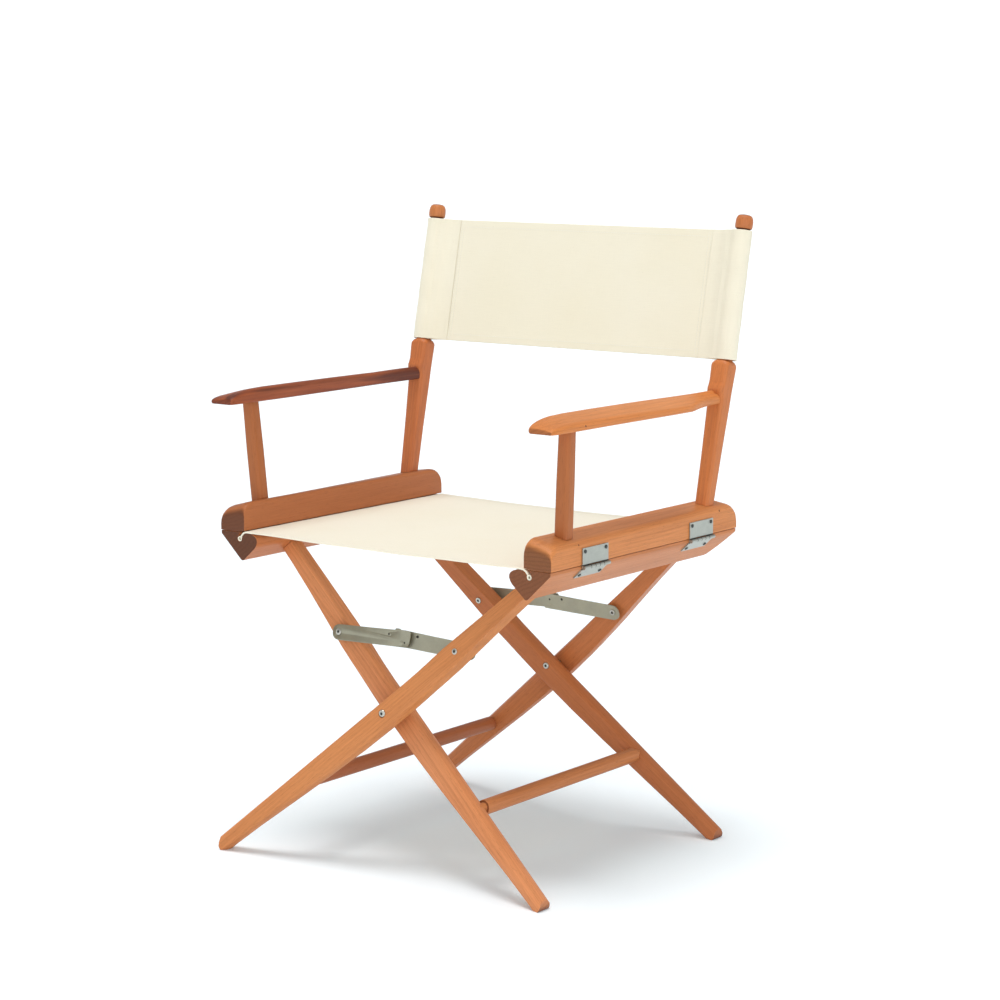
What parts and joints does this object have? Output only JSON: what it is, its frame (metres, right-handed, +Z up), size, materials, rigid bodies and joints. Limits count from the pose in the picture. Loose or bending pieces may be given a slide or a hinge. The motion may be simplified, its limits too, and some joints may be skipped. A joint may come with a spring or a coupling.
{
  "type": "folding chair",
  "caption": "Folding wooden armchair with crossed legs, hinged arm frames, steel toggle braces and a canvas sling seat and back.",
  "frame": {"origin": "on the floor, at the centre of the bounding box seen from above", "axes": "+X towards the sitter's left arm, -Y the way the sitter faces, +Z up"},
  "size_m": [0.582, 0.5117, 0.8681],
  "materials": {
    "wood": "satin oiled hardwood, orange-brown",
    "wood_shaded": "satin oiled hardwood, slightly darker",
    "canvas": "matt woven cotton canvas, natural cream",
    "brace_steel": "dull grey-green plated strip steel",
    "hinge_steel": "satin zinc-plated sheet steel",
    "fastener_steel": "satin plated steel"
  },
  "bodies": {
    "frame_outer": {"brace_front_bolt_right": "fastener_steel", "brace_rear_bolt_right": "fastener_steel", "hinge_front_right_leaf_lower": "hinge_steel", "hinge_front_right_screw_lower_1": "fastener_steel", "hinge_front_right_screw_lower_2": "fastener_steel", "hinge_rear_right_leaf_lower": "hinge_steel", "hinge_rear_right_screw_lower_1": "fastener_steel", "hinge_rear_right_screw_lower_2": "fastener_steel", "leg_front_outer": "wood", "leg_rear_outer": "wood", "pivot_bolt_front": "fastener_steel", "pivot_bolt_rear": "fastener_steel", "rail_lower_right": "wood", "seat_canvas": "canvas", "seat_rod_right": "fastener_steel", "stretcher_left": "wood"},
    "frame_inner": {"brace_front_bolt_left": "fastener_steel", "brace_rear_bolt_left": "fastener_steel", "hinge_front_left_leaf_lower": "hinge_steel", "hinge_front_left_screw_lower_1": "fastener_steel", "hinge_front_left_screw_lower_2": "fastener_steel", "hinge_rear_left_leaf_lower": "hinge_steel", "hinge_rear_left_screw_lower_1": "fastener_steel", "hinge_rear_left_screw_lower_2": "fastener_steel", "leg_front_inner": "wood", "leg_rear_inner": "wood", "rail_lower_left": "wood", "seat_rod_left": "fastener_steel", "stretcher_right": "wood"},
    "arm_right": {"armrest_right": "wood", "back_canvas": "canvas", "finial_right": "wood", "hinge_front_right_leaf_upper": "hinge_steel", "hinge_front_right_screw_upper_1": "fastener_steel", "hinge_front_right_screw_upper_2": "fastener_steel", "hinge_rear_right_leaf_upper": "hinge_steel", "hinge_rear_right_screw_upper_1": "fastener_steel", "hinge_rear_right_screw_upper_2": "fastener_steel", "post_back_right": "wood_shaded", "post_front_right": "wood", "rail_upper_right": "wood"},
    "arm_left": {"armrest_left": "wood", "finial_left": "wood", "hinge_front_left_leaf_upper": "hinge_steel", "hinge_front_left_screw_upper_1": "fastener_steel", "hinge_front_left_screw_upper_2": "fastener_steel", "hinge_rear_left_leaf_upper": "hinge_steel", "hinge_rear_left_screw_upper_1": "fastener_steel", "hinge_rear_left_screw_upper_2": "fastener_steel", "post_back_left": "wood_shaded", "post_front_left": "wood", "rail_upper_left": "wood"},
    "brace_front_link_left": {"brace_front_link_left": "brace_steel"},
    "brace_front_link_right": {"brace_front_link_right": "brace_steel"},
    "brace_rear_link_left": {"brace_rear_link_left": "brace_steel"},
    "brace_rear_link_right": {"brace_rear_link_right": "brace_steel"}
  },
  "joints": [
    {"name": "fold", "type": "hinge", "parent": "frame_outer", "child": "frame_inner", "pos_m": [0, -0.004, 0.222], "axis": [0, 1, 0], "range_deg": [0, 84], "deforming": ["seat_canvas", "back_canvas"]},
    {"name": "arm_right_hinge", "type": "hinge", "parent": "frame_outer", "child": "arm_right", "pos_m": [0.2814, -0.004, 0.4386], "axis": [0, 1, 0], "range_deg": [0, 42]},
    {"name": "arm_left_hinge", "type": "hinge", "parent": "frame_inner", "child": "arm_left", "pos_m": [-0.2814, -0.004, 0.4386], "axis": [0, 1, 0], "range_deg": [-42, 0]},
    {"name": "brace_front_right_pin", "type": "hinge", "parent": "frame_outer", "child": "brace_front_link_right", "pos_m": [0.1088, -0.17025, 0.31128], "axis": [0, 0.9842, -0.1772], "range_deg": [0, 122.02]},
    {"name": "brace_front_left_pin", "type": "hinge", "parent": "frame_inner", "child": "brace_front_link_left", "pos_m": [-0.1088, -0.17418, 0.31199], "axis": [0, 0.9842, -0.1772], "range_deg": [-122.02, 0]},
    {"name": "brace_rear_right_pin", "type": "hinge", "parent": "frame_outer", "child": "brace_rear_link_right", "pos_m": [0.1088, 0.16225, 0.31128], "axis": [0, 0.9842, 0.1772], "range_deg": [0, 122.02]},
    {"name": "brace_rear_left_pin", "type": "hinge", "parent": "frame_inner", "child": "brace_rear_link_left", "pos_m": [-0.1088, 0.16618, 0.31199], "axis": [0, 0.9842, 0.1772], "range_deg": [-122.02, 0]}
  ],
  "couplings": [
    {"joint": "arm_right_hinge", "follows": "fold", "ratio": 0.5},
    {"joint": "arm_left_hinge", "follows": "fold", "ratio": -0.5},
    {"joint": "brace_front_right_pin", "follows": "fold", "ratio": 1.4523},
    {"joint": "brace_front_left_pin", "follows": "fold", "ratio": -1.4523},
    {"joint": "brace_rear_right_pin", "follows": "fold", "ratio": 1.4523},
    {"joint": "brace_rear_left_pin", "follows": "fold", "ratio": -1.4523}
  ]
}
